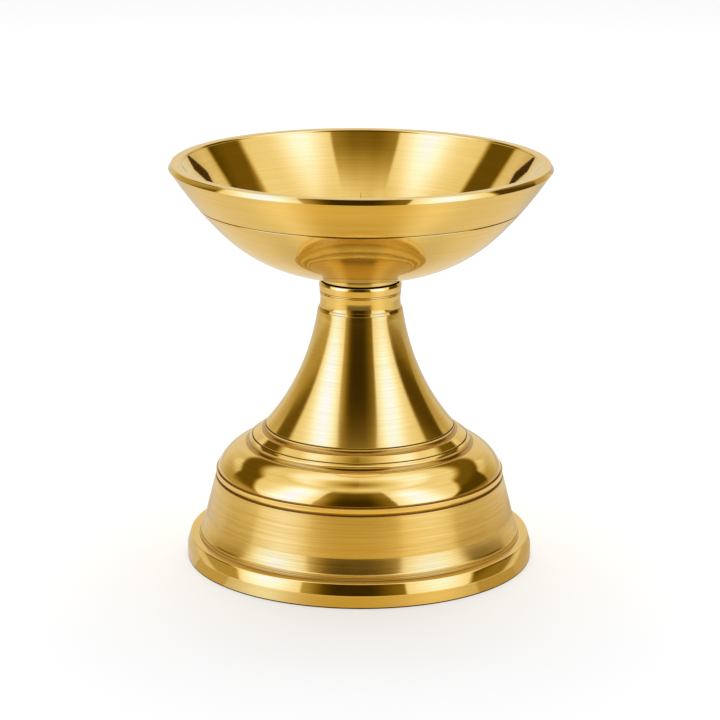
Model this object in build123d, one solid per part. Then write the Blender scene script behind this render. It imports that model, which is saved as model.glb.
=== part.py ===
from build123d import *
import os
from math import cos, radians, sin, tan

# A turned brass butter lamp: a wide bowl that screws onto a stand of stacked sections.
# Millimetres, with the lamp's axis on Z and the table at Z = 0.
# Radii are measured from the axis.

# Fits
register_fit = 0.05
thread_fit = 0.08
rod_clearance = 0.20

# Foot ring, the heavy ring that the lamp stands on
foot_radius = 41.35
foot_height = 5.7
foot_band_height = 3.1
foot_bevel = 0.8
foot_ledge = 2.05
foot_round = 0.3
foot_lip_wall = 3.0
foot_shelf_width = 4.0
foot_shelf_thickness = 2.0
floor_gap = 0.7

# Drum, the tapered wall of the base
drum_height = 14.1
drum_bead = 0.3
drum_bead_height = 0.6
drum_cove = 0.3
drum_flare = 1.1
drum_flare_height = 3.6
drum_taper = 2.3
drum_wall = 2.9
drum_lip_gap = 0.3

# Shoulder, the domed cap of the base
shoulder_height = 8.1
shoulder_inset = 0.15
shoulder_groove = 0.5
shoulder_groove_height = 0.65
shoulder_band_height = 1.15
dome_step = 0.43
dome_groove = 0.35
dome_groove_height = 0.4
dome_knee_run = 0.52
dome_knee_rise = 1.2
dome_run = 6.57
dome_lean = 16.0
shoulder_web = 3.0
shoulder_wall = 2.6
shoulder_spigot_depth = 2.5
shoulder_spigot_wall = 2.4
hub_wall = 3.0
hub_rise = 2.0

# Step ring between the base and the stem
ring_height = 3.2
ring_inset = 0.1
ring_lip_height = 0.2
ring_cove = 0.8
ring_edge = 0.3
ring_slope_run = 2.2

# Stem, a hollow trumpet
stem_height = 29.6
stem_inset = 0.6
stem_lip_height = 0.2
stem_cove = 0.7
stem_edge = 0.3
stem_foot_width = 5.5
stem_top_radius = 10.08
stem_top_lean = 8.1
stem_waist_radius = 12.95
stem_waist_drop = 11.62
stem_wall = 2.3
stem_bore_depth = 8.0

# Collar, the neck bush that takes the bowl's thread
collar_height = 6.65
collar_inset = 0.03
collar_bevel_height = 0.7
collar_bevel = 0.34
collar_ledge = 0.03
collar_waist = 0.21
collar_waist_height = 2.9
collar_band = 0.19
collar_band_height = 4.5
collar_lip = 0.33
collar_lip_height = 0.6
collar_lip_bevel = 0.28
collar_groove_depth = 0.12
collar_groove_spacing = 0.37
collar_spigot_radius = 7.0
collar_web = 1.2

# Seat washer, the dark line under the bowl
washer_thickness = 0.45
washer_recess = 0.05
washer_clearance = 0.3

# Bowl
rim_radius = 45.0
rim_width = 3.15
rim_bevel = 0.58
rim_round = 0.2
rim_inner_round = 0.5
rim_band_height = 1.2
rim_undercut = 0.15
bowl_height = 28.0
bowl_wall_slope = 51.0
bowl_wall_bend = 3.0
bowl_knee_rise = 13.2
bowl_foot_inset = 0.38
bowl_foot_height = 1.05
bowl_neck_depth = 1.2
bowl_neck_height = 0.3
bowl_base_radius = 11.6
bowl_base_rise = 1.66
bowl_base_slope = 7.0
bowl_belly_radius = 33.1
bowl_belly_rise = 12.15
bowl_floor_web = 1.2
bowl_line_width = 0.6
bowl_line_place = 0.315

# Bowl stud and its thread
stud_radius = 4.0
stud_pitch = 1.25
stud_turns = 6
stud_socket_depth = 4.0
stud_hole_spare = 1.0

# Tie rod, washer, nut and base plate that clamp the stand together
rod_radius = 3.0
rod_pitch = 1.0
rod_hole_depth = 6.5
rod_end_gap = 0.2
rod_turns = 9
rod_protrusion = 0.5
nut_flats = 10.0
nut_thickness = 3.2
nut_chamfer = 0.4
rod_washer_radius = 6.0
rod_washer_thickness = 1.0
plate_thickness = 1.6
plate_clearance = 0.1

# Wick pin in the middle of the bowl
pin_height = 14.1
pin_foot_radius = 5.0
pin_foot_thickness = 1.0
pin_foot_round = 0.4
pin_base_radius = 0.9
pin_tip_radius = 0.1
pin_peg_radius = 1.2
pin_peg_depth = 1.5
pin_peg_gap = 0.1

# Thread form, as shares of the pitch
thread_depth_share = 0.61
thread_root_share = 0.16
thread_crest_share = 0.13

# Levels, each the underside of its section
drum_level = foot_height
shoulder_level = drum_level + drum_height
ring_level = shoulder_level + shoulder_height
stem_level = ring_level + ring_height
collar_level = stem_level + stem_height
washer_level = collar_level + collar_height
bowl_level = washer_level + washer_thickness
rim_level = bowl_level + bowl_height

# Radii of the base, worked inwards from the foot
foot_edge_radius = foot_radius - foot_bevel
drum_bead_radius = foot_edge_radius - foot_ledge
drum_foot_radius = drum_bead_radius - 2 * drum_bead
drum_flare_radius = drum_foot_radius - drum_flare
drum_top_radius = drum_flare_radius - drum_taper
drum_bore_radius = drum_top_radius - drum_wall
foot_lip_radius = drum_foot_radius - drum_wall
foot_bore_radius = foot_lip_radius - foot_lip_wall
shoulder_radius = drum_top_radius - shoulder_inset
dome_radius = shoulder_radius - dome_step
dome_top_radius = dome_radius - dome_run
ring_radius = dome_top_radius - ring_inset
ring_edge_radius = ring_radius - ring_cove
ring_top_radius = ring_edge_radius - ring_edge - ring_slope_run
stem_radius = ring_top_radius - stem_inset
stem_edge_radius = stem_radius - stem_cove
hub_radius = stem_radius - stem_foot_width

# Radii of the neck
collar_radius = stem_top_radius - collar_inset
collar_edge_radius = collar_radius - collar_bevel
collar_neck_radius = collar_edge_radius - collar_ledge
collar_waist_radius = collar_neck_radius - collar_waist
collar_band_radius = collar_waist_radius + collar_band
collar_lip_radius = collar_waist_radius + collar_lip
bowl_foot_radius = collar_lip_radius - bowl_foot_inset
seat_washer_radius = bowl_foot_radius - washer_recess

# Heights of the clamp under the base, from the table up
rod_tip_level = floor_gap
nut_level = rod_tip_level + rod_protrusion
rod_washer_level = nut_level + nut_thickness
plate_level = rod_washer_level + rod_washer_thickness
shelf_level = plate_level + plate_thickness
foot_lip_level = shelf_level + foot_shelf_thickness

# Heights of the screw joint between bowl and collar
stud_engagement = stud_turns * stud_pitch
stud_tip_level = washer_level - stud_engagement
collar_web_level = stud_tip_level - stud_hole_spare - collar_web
collar_spigot_level = collar_web_level - rod_hole_depth
stud_top_level = bowl_level + stud_socket_depth
bowl_floor_level = stud_top_level + bowl_floor_web + pin_peg_depth


def turned(*edges):
    """Revolves a closed outline of (radius, height) points about the lamp's axis."""
    return revolve(Plane.XZ * make_face(edges), Axis.Z)


def tube(inner_radius, outer_radius, bottom, top):
    """A plain ring between two radii and two heights."""
    corners = [(inner_radius, bottom), (outer_radius, bottom), (outer_radius, top), (inner_radius, top)]
    return turned(Polyline(corners, close=True))


def groove_at(point, width):
    """A fine turned line: a ring of round section to cut away at a point of an outline."""
    return revolve(Plane.XZ * Pos(*point) * Circle(width / 2), Axis.Z)


def threaded_rod(radius, pitch, turns, bottom, top):
    """A rod whose lower end has one ring-shaped ridge for each turn of its thread."""
    root_radius = radius - pitch * thread_depth_share
    root_gap = pitch * thread_root_share / 2
    crest_gap = pitch * (1 - thread_crest_share) / 2
    outline = [(0, bottom), (root_radius, bottom)]
    for turn in range(turns):
        foot = bottom + turn * pitch
        outline.append((root_radius, foot + root_gap))
        outline.append((radius, foot + crest_gap))
        outline.append((radius, foot + pitch - crest_gap))
        outline.append((root_radius, foot + pitch - root_gap))
    thread_top = bottom + turns * pitch
    outline += [(root_radius, thread_top), (radius, thread_top), (radius, top), (0, top)]
    return turned(Polyline(outline, close=True))


def foot_ring():
    shelf_radius = foot_bore_radius - foot_shelf_width
    return turned(
        Line((foot_bore_radius, 0), (foot_radius - foot_round, 0)),
        TangentArc((foot_radius - foot_round, 0), (foot_radius, foot_round), tangent=(1, 0)),
        Polyline(
            (foot_radius, foot_round),
            (foot_radius, foot_band_height),
            (foot_edge_radius, foot_height),
            (foot_lip_radius - register_fit, foot_height),
            (foot_lip_radius - register_fit, foot_lip_level),
            (shelf_radius, foot_lip_level),
            (shelf_radius, shelf_level),
            (foot_bore_radius, shelf_level),
            (foot_bore_radius, 0),
        ),
    )


def drum():
    lower_bead = drum_level + drum_bead_height
    upper_bead = lower_bead + drum_bead_height
    flare_top = (drum_flare_radius, upper_bead + drum_flare_height)
    flare_foot = (drum_foot_radius, upper_bead + drum_cove)
    bead_edge = (drum_foot_radius + drum_bead, upper_bead)
    top = (drum_top_radius, shoulder_level)
    wall = Line(top, flare_top)
    flare = TangentArc(flare_top, flare_foot, tangent=wall % 1)
    seat = foot_lip_level + drum_lip_gap
    return turned(
        wall,
        flare,
        TangentArc(flare_foot, bead_edge, tangent=flare % 1),
        Polyline(
            bead_edge,
            (drum_foot_radius + drum_bead, lower_bead),
            (drum_bead_radius, lower_bead),
            (drum_bead_radius, drum_level),
            (foot_lip_radius, drum_level),
            (foot_lip_radius, seat),
            (drum_bore_radius, seat),
            (drum_bore_radius, shoulder_level),
            top,
        ),
    )


def shoulder():
    groove_radius = shoulder_radius - shoulder_groove
    band_bottom = shoulder_level + shoulder_groove_height
    band_top = band_bottom + shoulder_band_height
    dome_foot = (dome_radius, band_top + dome_groove_height)
    knee = (dome_radius - dome_knee_run, dome_foot[1] + dome_knee_rise)
    crown = (dome_top_radius, ring_level)
    dome_rise = (-sin(radians(dome_lean)), cos(radians(dome_lean)))
    lower_dome = TangentArc(dome_foot, knee, tangent=dome_rise)
    spigot_radius = drum_bore_radius - register_fit
    spigot_bottom = shoulder_level - shoulder_spigot_depth
    spigot_bore = spigot_radius - shoulder_spigot_wall
    web_level = ring_level - shoulder_web
    hub_top = stem_level + hub_rise
    return turned(
        Polyline(
            (groove_radius, shoulder_level),
            (groove_radius, band_bottom),
            (shoulder_radius, band_bottom),
            (shoulder_radius, band_top),
            (dome_radius - dome_groove, band_top),
            (dome_radius - dome_groove, dome_foot[1]),
            dome_foot,
        ),
        lower_dome,
        TangentArc(knee, crown, tangent=lower_dome % 1),
        Polyline(
            crown,
            (hub_radius - register_fit, ring_level),
            (hub_radius - register_fit, hub_top),
            (hub_radius - hub_wall, hub_top),
            (hub_radius - hub_wall, ring_level),
            (rod_radius + rod_clearance, ring_level),
            (rod_radius + rod_clearance, web_level),
            (dome_top_radius - shoulder_wall, web_level),
            (spigot_bore, shoulder_level),
            (spigot_bore, spigot_bottom),
            (spigot_radius, spigot_bottom),
            (spigot_radius, shoulder_level),
            (groove_radius, shoulder_level),
        ),
    )


def step_ring():
    lip_top = ring_level + ring_lip_height
    cove_top = (ring_edge_radius, lip_top + ring_cove)
    return turned(
        TangentArc((ring_radius, lip_top), cove_top, tangent=(-1, 0)),
        Polyline(
            cove_top,
            (ring_edge_radius, cove_top[1] + ring_edge),
            (ring_edge_radius - ring_edge, cove_top[1] + 2 * ring_edge),
            (ring_top_radius, stem_level),
            (hub_radius, stem_level),
            (hub_radius, ring_level),
            (ring_radius, ring_level),
            (ring_radius, lip_top),
        ),
    )


def stem():
    lip_top = stem_level + stem_lip_height
    cove_top = (stem_edge_radius, lip_top + stem_cove)
    toe = (stem_edge_radius, cove_top[1] + stem_edge)
    top = (stem_top_radius, collar_level)
    waist_level = collar_level - stem_waist_drop
    waist = (stem_waist_radius, waist_level)
    inner_waist = (stem_waist_radius - stem_wall, waist_level)
    inner_toe = (hub_radius, stem_level + hub_rise + stem_wall)
    bore_radius = collar_spigot_radius + register_fit
    lean = (sin(radians(stem_top_lean)), -cos(radians(stem_top_lean)))
    upper_flare = TangentArc(top, waist, tangent=lean)
    return turned(
        upper_flare,
        TangentArc(waist, toe, tangent=upper_flare % 1),
        Line(toe, cove_top),
        TangentArc((stem_radius, lip_top), cove_top, tangent=(-1, 0)),
        Polyline(
            (stem_radius, lip_top),
            (stem_radius, stem_level),
            (hub_radius, stem_level),
            inner_toe,
        ),
        TangentArc(inner_waist, inner_toe, tangent=upper_flare % 1),
        Polyline(
            inner_waist,
            (bore_radius, collar_level - stem_bore_depth),
            (bore_radius, collar_level),
            top,
        ),
    )


def neck_collar():
    ledge_level = collar_level + collar_bevel_height
    neck = (collar_neck_radius, ledge_level)
    waist = (collar_waist_radius, collar_level + collar_waist_height)
    band = (collar_band_radius, collar_level + collar_band_height)
    lip = (collar_lip_radius, washer_level - collar_lip_height)
    lip_top = (collar_lip_radius - collar_lip_bevel, washer_level)
    stud_bore = stud_radius + thread_fit
    rod_bore = rod_radius + thread_fit
    stud_bottom = stud_tip_level - stud_hole_spare
    body = turned(
        Polyline((collar_radius, collar_level), (collar_edge_radius, ledge_level), neck),
        TangentArc(waist, neck, tangent=(0, -1)),
        TangentArc(waist, band, tangent=(0, 1)),
        Polyline(
            band,
            lip,
            lip_top,
            (stud_bore, washer_level),
            (stud_bore, stud_bottom),
            (0, stud_bottom),
            (0, collar_web_level),
            (rod_bore, collar_web_level),
            (rod_bore, collar_spigot_level),
            (collar_spigot_radius, collar_spigot_level),
            (collar_spigot_radius, collar_level),
            (collar_radius, collar_level),
        ),
    )
    for line in range(2):
        level = band[1] - line * collar_groove_spacing
        body -= groove_at((collar_band_radius, level), 2 * collar_groove_depth)
    return body


def bowl():
    foot_top = bowl_level + bowl_foot_height
    base = (bowl_base_radius, bowl_level + bowl_base_rise)
    belly = (bowl_belly_radius, bowl_level + bowl_belly_rise)
    band_bottom = rim_level - rim_band_height
    wall_top = (rim_radius - rim_undercut, band_bottom)
    base_run = Vector(cos(radians(bowl_base_slope)), sin(radians(bowl_base_slope)))
    under = TangentArc(base, belly, tangent=base_run)
    side = TangentArc(belly, wall_top, tangent=under % 1)
    mouth_radius = rim_radius - rim_width
    mouth = (mouth_radius, rim_level - rim_inner_round)
    wall_slope = radians(bowl_wall_slope)
    knee_level = bowl_level + bowl_knee_rise
    knee = (mouth_radius - (mouth[1] - knee_level) / tan(wall_slope), knee_level)
    mouth_slope = radians(bowl_wall_slope + bowl_wall_bend)
    knee_slope = radians(bowl_wall_slope - bowl_wall_bend)
    floor_edge = (knee[0] - (knee_level - bowl_floor_level) / tan(knee_slope / 2), bowl_floor_level)
    neck_radius = bowl_foot_radius - bowl_neck_depth
    neck = (neck_radius, foot_top + bowl_neck_height)
    rim_edge = (rim_radius - rim_bevel, rim_level - rim_round)
    rim_top = (rim_edge[0] - rim_round, rim_level)
    rim_side = Polyline(wall_top, (rim_radius, band_bottom), rim_edge)
    socket_radius = stud_radius + thread_fit
    peg_radius = pin_peg_radius + register_fit
    peg_bottom = bowl_floor_level - pin_peg_depth
    body = turned(
        under,
        side,
        TangentArc(base, neck, tangent=-base_run),
        rim_side,
        TangentArc(rim_top, rim_edge, tangent=(1, 0)),
        Line(rim_top, (mouth_radius + rim_inner_round, rim_level)),
        TangentArc((mouth_radius + rim_inner_round, rim_level), mouth, tangent=(-1, 0)),
        TangentArc(mouth, knee, tangent=(-cos(mouth_slope), -sin(mouth_slope))),
        TangentArc(floor_edge, knee, tangent=(1, 0)),
        Polyline(
            floor_edge,
            (peg_radius, bowl_floor_level),
            (peg_radius, peg_bottom),
            (0, peg_bottom),
            (0, stud_top_level),
            (socket_radius, stud_top_level),
            (socket_radius, bowl_level),
            (bowl_foot_radius, bowl_level),
            (bowl_foot_radius, foot_top),
            (neck_radius, foot_top),
            neck,
        ),
    )
    line_point = side @ bowl_line_place
    return body - groove_at((line_point.X, line_point.Y), bowl_line_width)


def bowl_stud():
    return threaded_rod(stud_radius, stud_pitch, stud_turns, stud_tip_level, stud_top_level)


def seat_washer():
    return tube(stud_radius + washer_clearance, seat_washer_radius, washer_level, bowl_level)


def tie_rod():
    return threaded_rod(rod_radius, rod_pitch, rod_turns, rod_tip_level, collar_web_level - rod_end_gap)


def rod_nut():
    corner_radius = nut_flats / 2 / cos(radians(30))
    prism = Pos(0, 0, nut_level) * extrude(RegularPolygon(corner_radius, 6), nut_thickness)
    face_radius = nut_flats / 2
    nut_top = nut_level + nut_thickness
    envelope = turned(
        Polyline(
            (rod_radius + thread_fit, nut_level),
            (face_radius, nut_level),
            (corner_radius, nut_level + nut_chamfer),
            (corner_radius, nut_top - nut_chamfer),
            (face_radius, nut_top),
            (rod_radius + thread_fit, nut_top),
            close=True,
        )
    )
    return prism & envelope


def rod_washer():
    return tube(rod_radius + rod_clearance, rod_washer_radius, rod_washer_level, plate_level)


def base_plate():
    return tube(rod_radius + rod_clearance, foot_bore_radius - plate_clearance, plate_level, shelf_level)


def wick_pin():
    foot_top = bowl_floor_level + pin_foot_thickness
    tip = bowl_floor_level + pin_height
    peg_bottom = bowl_floor_level - pin_peg_depth + pin_peg_gap
    rounded = (pin_foot_radius, foot_top - pin_foot_round)
    return turned(
        Polyline(
            (0, peg_bottom),
            (pin_peg_radius, peg_bottom),
            (pin_peg_radius, bowl_floor_level),
            (pin_foot_radius, bowl_floor_level),
            rounded,
        ),
        TangentArc(rounded, (pin_foot_radius - pin_foot_round, foot_top), tangent=(0, 1)),
        Polyline(
            (pin_foot_radius - pin_foot_round, foot_top),
            (pin_base_radius, foot_top),
            (pin_tip_radius, tip - pin_tip_radius),
        ),
        TangentArc((0, tip), (pin_tip_radius, tip - pin_tip_radius), tangent=(1, 0)),
        Line((0, tip), (0, peg_bottom)),
    )


pieces = [
    foot_ring,
    drum,
    shoulder,
    step_ring,
    stem,
    neck_collar,
    tie_rod,
    rod_nut,
    rod_washer,
    base_plate,
    seat_washer,
    bowl,
    bowl_stud,
    wick_pin,
]

os.makedirs("parts", exist_ok=True)
for piece in pieces:
    export_step(piece(), f"parts/{piece.__name__}.step")
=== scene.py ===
import math

import bmesh
import bpy
from mathutils import Euler, Matrix, Vector


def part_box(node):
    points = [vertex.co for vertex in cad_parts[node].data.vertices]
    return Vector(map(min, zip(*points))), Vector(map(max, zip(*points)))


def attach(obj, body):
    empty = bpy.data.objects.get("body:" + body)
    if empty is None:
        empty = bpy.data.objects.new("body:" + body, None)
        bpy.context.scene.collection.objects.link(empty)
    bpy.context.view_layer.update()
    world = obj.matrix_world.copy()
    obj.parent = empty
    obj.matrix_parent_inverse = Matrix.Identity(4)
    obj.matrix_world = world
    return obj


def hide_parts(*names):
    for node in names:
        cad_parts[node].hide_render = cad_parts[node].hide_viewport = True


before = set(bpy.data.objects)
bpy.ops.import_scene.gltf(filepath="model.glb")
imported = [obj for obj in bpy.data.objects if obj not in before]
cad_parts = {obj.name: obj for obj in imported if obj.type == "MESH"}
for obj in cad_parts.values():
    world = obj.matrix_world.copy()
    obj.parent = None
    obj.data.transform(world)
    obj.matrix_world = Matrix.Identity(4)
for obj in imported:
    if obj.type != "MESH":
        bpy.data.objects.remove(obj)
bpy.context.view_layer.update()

# Outlines are written in millimetres as (radius, height), and meshes are in metres.
MM = 0.001

# Levels and radii of the stacked sections, read from the frame


def node_sizes(node):
    """Radius, lowest and highest height of a node of the frame, in millimetres."""
    low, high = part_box(node)
    return high.x / MM, low.z / MM, high.z / MM


foot_radius, _, foot_lip_level = node_sizes("foot_ring")
drum_bead_radius, drum_level, shoulder_level = node_sizes("drum")
shoulder_radius, spigot_level, hub_top = node_sizes("shoulder")
ring_radius, ring_level, stem_level = node_sizes("step_ring")
stem_radius, _, collar_level = node_sizes("stem")
collar_radius, collar_spigot_level, washer_level = node_sizes("neck_collar")
rim_radius, bowl_level, rim_level = node_sizes("bowl")
stud_radius, stud_tip_level, stud_top_level = node_sizes("bowl_stud")
pin_foot_radius, pin_peg_level, pin_tip_level = node_sizes("wick_pin")
rod_radius, rod_tip_level, rod_top_level = node_sizes("tie_rod")
plate_radius, _, shelf_level = node_sizes("base_plate")

# Fits and the small rounding that a turned edge has
register_fit = 0.05
thread_fit = 0.08
fine_edge = 0.10
soft_edge = 0.22
# Painted shade: how dark seams, grooves, coves and ledges are painted where shade falls, the short run it
# keeps beside an eased corner, and the roughness it adds
painted_shade_edge = 0.06
seam_painted_shade = 0.9
groove_painted_shade = 0.55
cove_painted_shade = 0.4
ledge_painted_shade = 0.25
painted_shade_roughness = 0.3
seam_width = 0.12
cut_width = 0.4
cut_depth = 0.15
cut_wall_share = 0.3
longest_ease = 0.40
ease_guard = 1.2

# Foot ring
foot_height = drum_level
foot_band_height = 3.1
foot_bevel = 0.8
plate_fit = 0.1
foot_bore_radius = plate_radius + plate_fit
foot_round = 0.3
foot_shelf_width = 4.0

# Drum
drum_bead = 0.3
drum_bead_height = 0.6
drum_cove = 0.3
drum_flare = 1.1
drum_flare_height = 3.6
drum_taper = 2.3
drum_wall = 2.9
drum_lip_gap = 0.3

# Shoulder
shoulder_groove = 0.5
shoulder_groove_height = 0.65
shoulder_band_height = 1.15
dome_step = 0.43
dome_groove = 0.35
dome_groove_height = 0.4
dome_knee_run = 0.52
dome_knee_rise = 1.2
dome_run = 6.57
dome_lean = 16.0
shoulder_web = 3.0
shoulder_wall = 2.6
shoulder_spigot_wall = 2.4
hub_wall = 3.0
rod_clearance = 0.2

# Step ring
ring_lip_height = 0.2
ring_cove = 0.8
ring_edge = 0.3
ring_slope_run = 2.2

# Stem
stem_lip_height = 0.2
stem_cove = 0.7
stem_edge = 0.3
stem_foot_width = 5.5
stem_top_ledge = 0.03
stem_top_radius = collar_radius + stem_top_ledge
stem_top_lean = 8.1
stem_waist_radius = 12.95
stem_waist_drop = 11.62
stem_wall = 2.3
stem_bore_depth = 8.0

# Collar
collar_bevel_height = 0.7
collar_bevel = 0.34
collar_ledge = 0.03
collar_waist = 0.21
collar_waist_height = 2.9
collar_band = 0.19
collar_band_height = 4.5
collar_lip = 0.33
collar_lip_height = 0.6
collar_lip_bevel = 0.28
collar_groove_depth = 0.12
collar_groove_spacing = 0.37
collar_spigot_radius = 7.0
collar_web = 1.2
stud_hole_spare = 1.0

# Bowl
rim_width = 3.15
rim_bevel = 0.58
rim_round = 0.2
rim_inner_round = 0.5
rim_band_height = 1.2
rim_undercut = 0.15
bowl_wall_slope = math.radians(51.0)
bowl_wall_bend = math.radians(3.0)
bowl_knee_rise = 13.2
bowl_foot_inset = 0.38
bowl_foot_height = 1.05
bowl_neck_depth = 1.2
bowl_neck_height = 0.3
bowl_base_radius = 11.6
bowl_base_rise = 1.66
bowl_base_slope = math.radians(7.0)
bowl_belly_inset = 11.9
bowl_belly_rise = 12.15
bowl_line_place = 0.315
bowl_line_width = 0.5
bowl_line_depth = 0.25

# Wick pin
pin_foot_thickness = 1.0
pin_foot_round = 0.4
pin_base_radius = 0.9
pin_tip_radius = 0.1
pin_tip_lean = 2.86
pin_peg_radius = 1.2
pin_peg_depth = 1.5
pin_peg_gap = 0.1
bowl_floor_level = pin_peg_level + pin_peg_depth - pin_peg_gap

# Threads
stud_pitch = 1.25
rod_pitch = 1.0
rod_thread_turns = 9
thread_depth_share = 0.61
thread_root_share = 0.16
thread_crest_share = 0.13

# Fineness of the meshes
round_steps = 5
arc_step = math.radians(1.5)
turned_segments = 256
thread_segments = 96
pin_segments = 64
sharp_angle = math.radians(35.0)
merge_gap = 0.002
shortest_edge = 0.0005


# Outlines


def lean_down(angle):
    """Direction of a wall that leans outwards as it goes down, by an angle from the vertical."""
    return Vector((math.sin(math.radians(angle)), -math.cos(math.radians(angle))))


def arc(start, end, direction):
    """Points of the arc that leaves start along a direction and reaches end, and its last direction."""
    start = Vector(start)
    chord = Vector(end) - start
    along = Vector(direction).normalized()
    across = Vector((-along.y, along.x))
    offset = chord.dot(across)
    radius = chord.length_squared / (2 * offset)
    centre = start + across * radius
    spoke = start - centre
    half_turn = math.atan2(offset, chord.dot(along))
    turn = 2 * half_turn
    steps = max(2, math.ceil(abs(turn) / arc_step))
    points = []
    for step in range(1, steps):
        swing = turn * step / steps
        points.append(centre + Matrix.Rotation(swing, 2) @ spoke)
    points.append(Vector(end))
    last = Matrix.Rotation(turn, 2) @ along
    return points, last


class Outline:
    """A closed outline of a turned piece, drawn corner by corner, with the shade painted into its grooves.
    """

    def __init__(self, start, painted_shade=0.0):
        self.points = [Vector(start)]
        self.softness = [0.0]
        self.painted_shade = [painted_shade]
        self.direction = None

    def add(self, point, painted_shade=0.0):
        self.points.append(Vector(point))
        self.softness.append(0.0)
        self.painted_shade.append(painted_shade)

    def line(self, *corners, soft=fine_edge, painted_shade=0.0):
        """Straight runs to each corner, with the corner that they leave eased by soft."""
        for corner in corners:
            self.softness[-1] = soft
            self.add(corner, painted_shade)
        self.direction = (self.points[-1] - self.points[-2]).normalized()
        return self

    def sweep(self, end, direction=None, soft=0.0, painted_shade=0.0):
        """An arc to end, along the last direction or a given one."""
        self.softness[-1] = soft
        points, self.direction = arc(self.points[-1], end, direction or self.direction)
        for point in points:
            self.add(point, painted_shade)
        return self

    def cut(self, width=cut_width, depth=cut_depth, painted_shade=seam_painted_shade):
        """A fine turned line just before the last point, with shade painted into it."""
        end = self.points.pop()
        self.softness.pop()
        last_painted_shade = self.painted_shade.pop()
        inward = Vector((-self.direction.y, self.direction.x))
        if inward.x > 0:
            inward.negate()
        self.add(end - self.direction * width)
        self.add(end - self.direction * width * (1 - cut_wall_share) + inward * depth, painted_shade)
        self.add(end - self.direction * width * cut_wall_share + inward * depth, painted_shade)
        self.add(end, last_painted_shade)
        return self

    def eased(self):
        """Pairs of point and painted shade, with each softened corner replaced by a small curve."""
        total = [0.0]
        for first, second in zip(self.points, self.points[1:]):
            total.append(total[-1] + (second - first).length)
        result = []
        skip_until = -1.0
        for index, point in enumerate(self.points):
            ease = self.softness[index]
            painted_shade = self.painted_shade[index]
            inner = 0 < index < len(self.points) - 1
            if inner and ease > 0:
                back = self.points[index - 1] - point
                ahead = self.points[index + 1] - point
                ease = min(ease, longest_ease * min(back.length, ahead.length))
                back.normalize()
                ahead.normalize()
                guard = min(ease * ease_guard, ease + painted_shade_edge)
                if self.painted_shade[index - 1] != painted_shade:
                    result.append((point + back * guard, self.painted_shade[index - 1]))
                for step in range(round_steps + 1):
                    share = step / round_steps
                    start = (point + back * ease).lerp(point, share)
                    end = point.lerp(point + ahead * ease, share)
                    result.append((start.lerp(end, share), painted_shade))
                if self.painted_shade[index + 1] != painted_shade:
                    result.append((point + ahead * guard, self.painted_shade[index + 1]))
                skip_until = total[index] + guard
            elif total[index] > skip_until:
                result.append((point, painted_shade))
        return result


def point_along(points, share):
    """Index of the outline's point at a share of its run."""
    return round(share * (len(points) - 1))


# Geometry Nodes: one tree turns every outline about the axis


def add_node(tree, kind, **settings):
    node = tree.nodes.new(kind)
    for name, value in settings.items():
        setattr(node, name, value)
    return node


def math_node(tree, operation, *inputs):
    """A Math node whose inputs are sockets or plain numbers."""
    node = add_node(tree, "ShaderNodeMath", operation=operation)
    for socket, value in zip(node.inputs, inputs):
        if isinstance(value, (int, float)):
            socket.default_value = value
        else:
            tree.links.new(value, socket)
    return node.outputs[0]


def times(tree, first, second):
    return math_node(tree, "MULTIPLY", first, second)


def plus(tree, first, second):
    return math_node(tree, "ADD", first, second)


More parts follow.
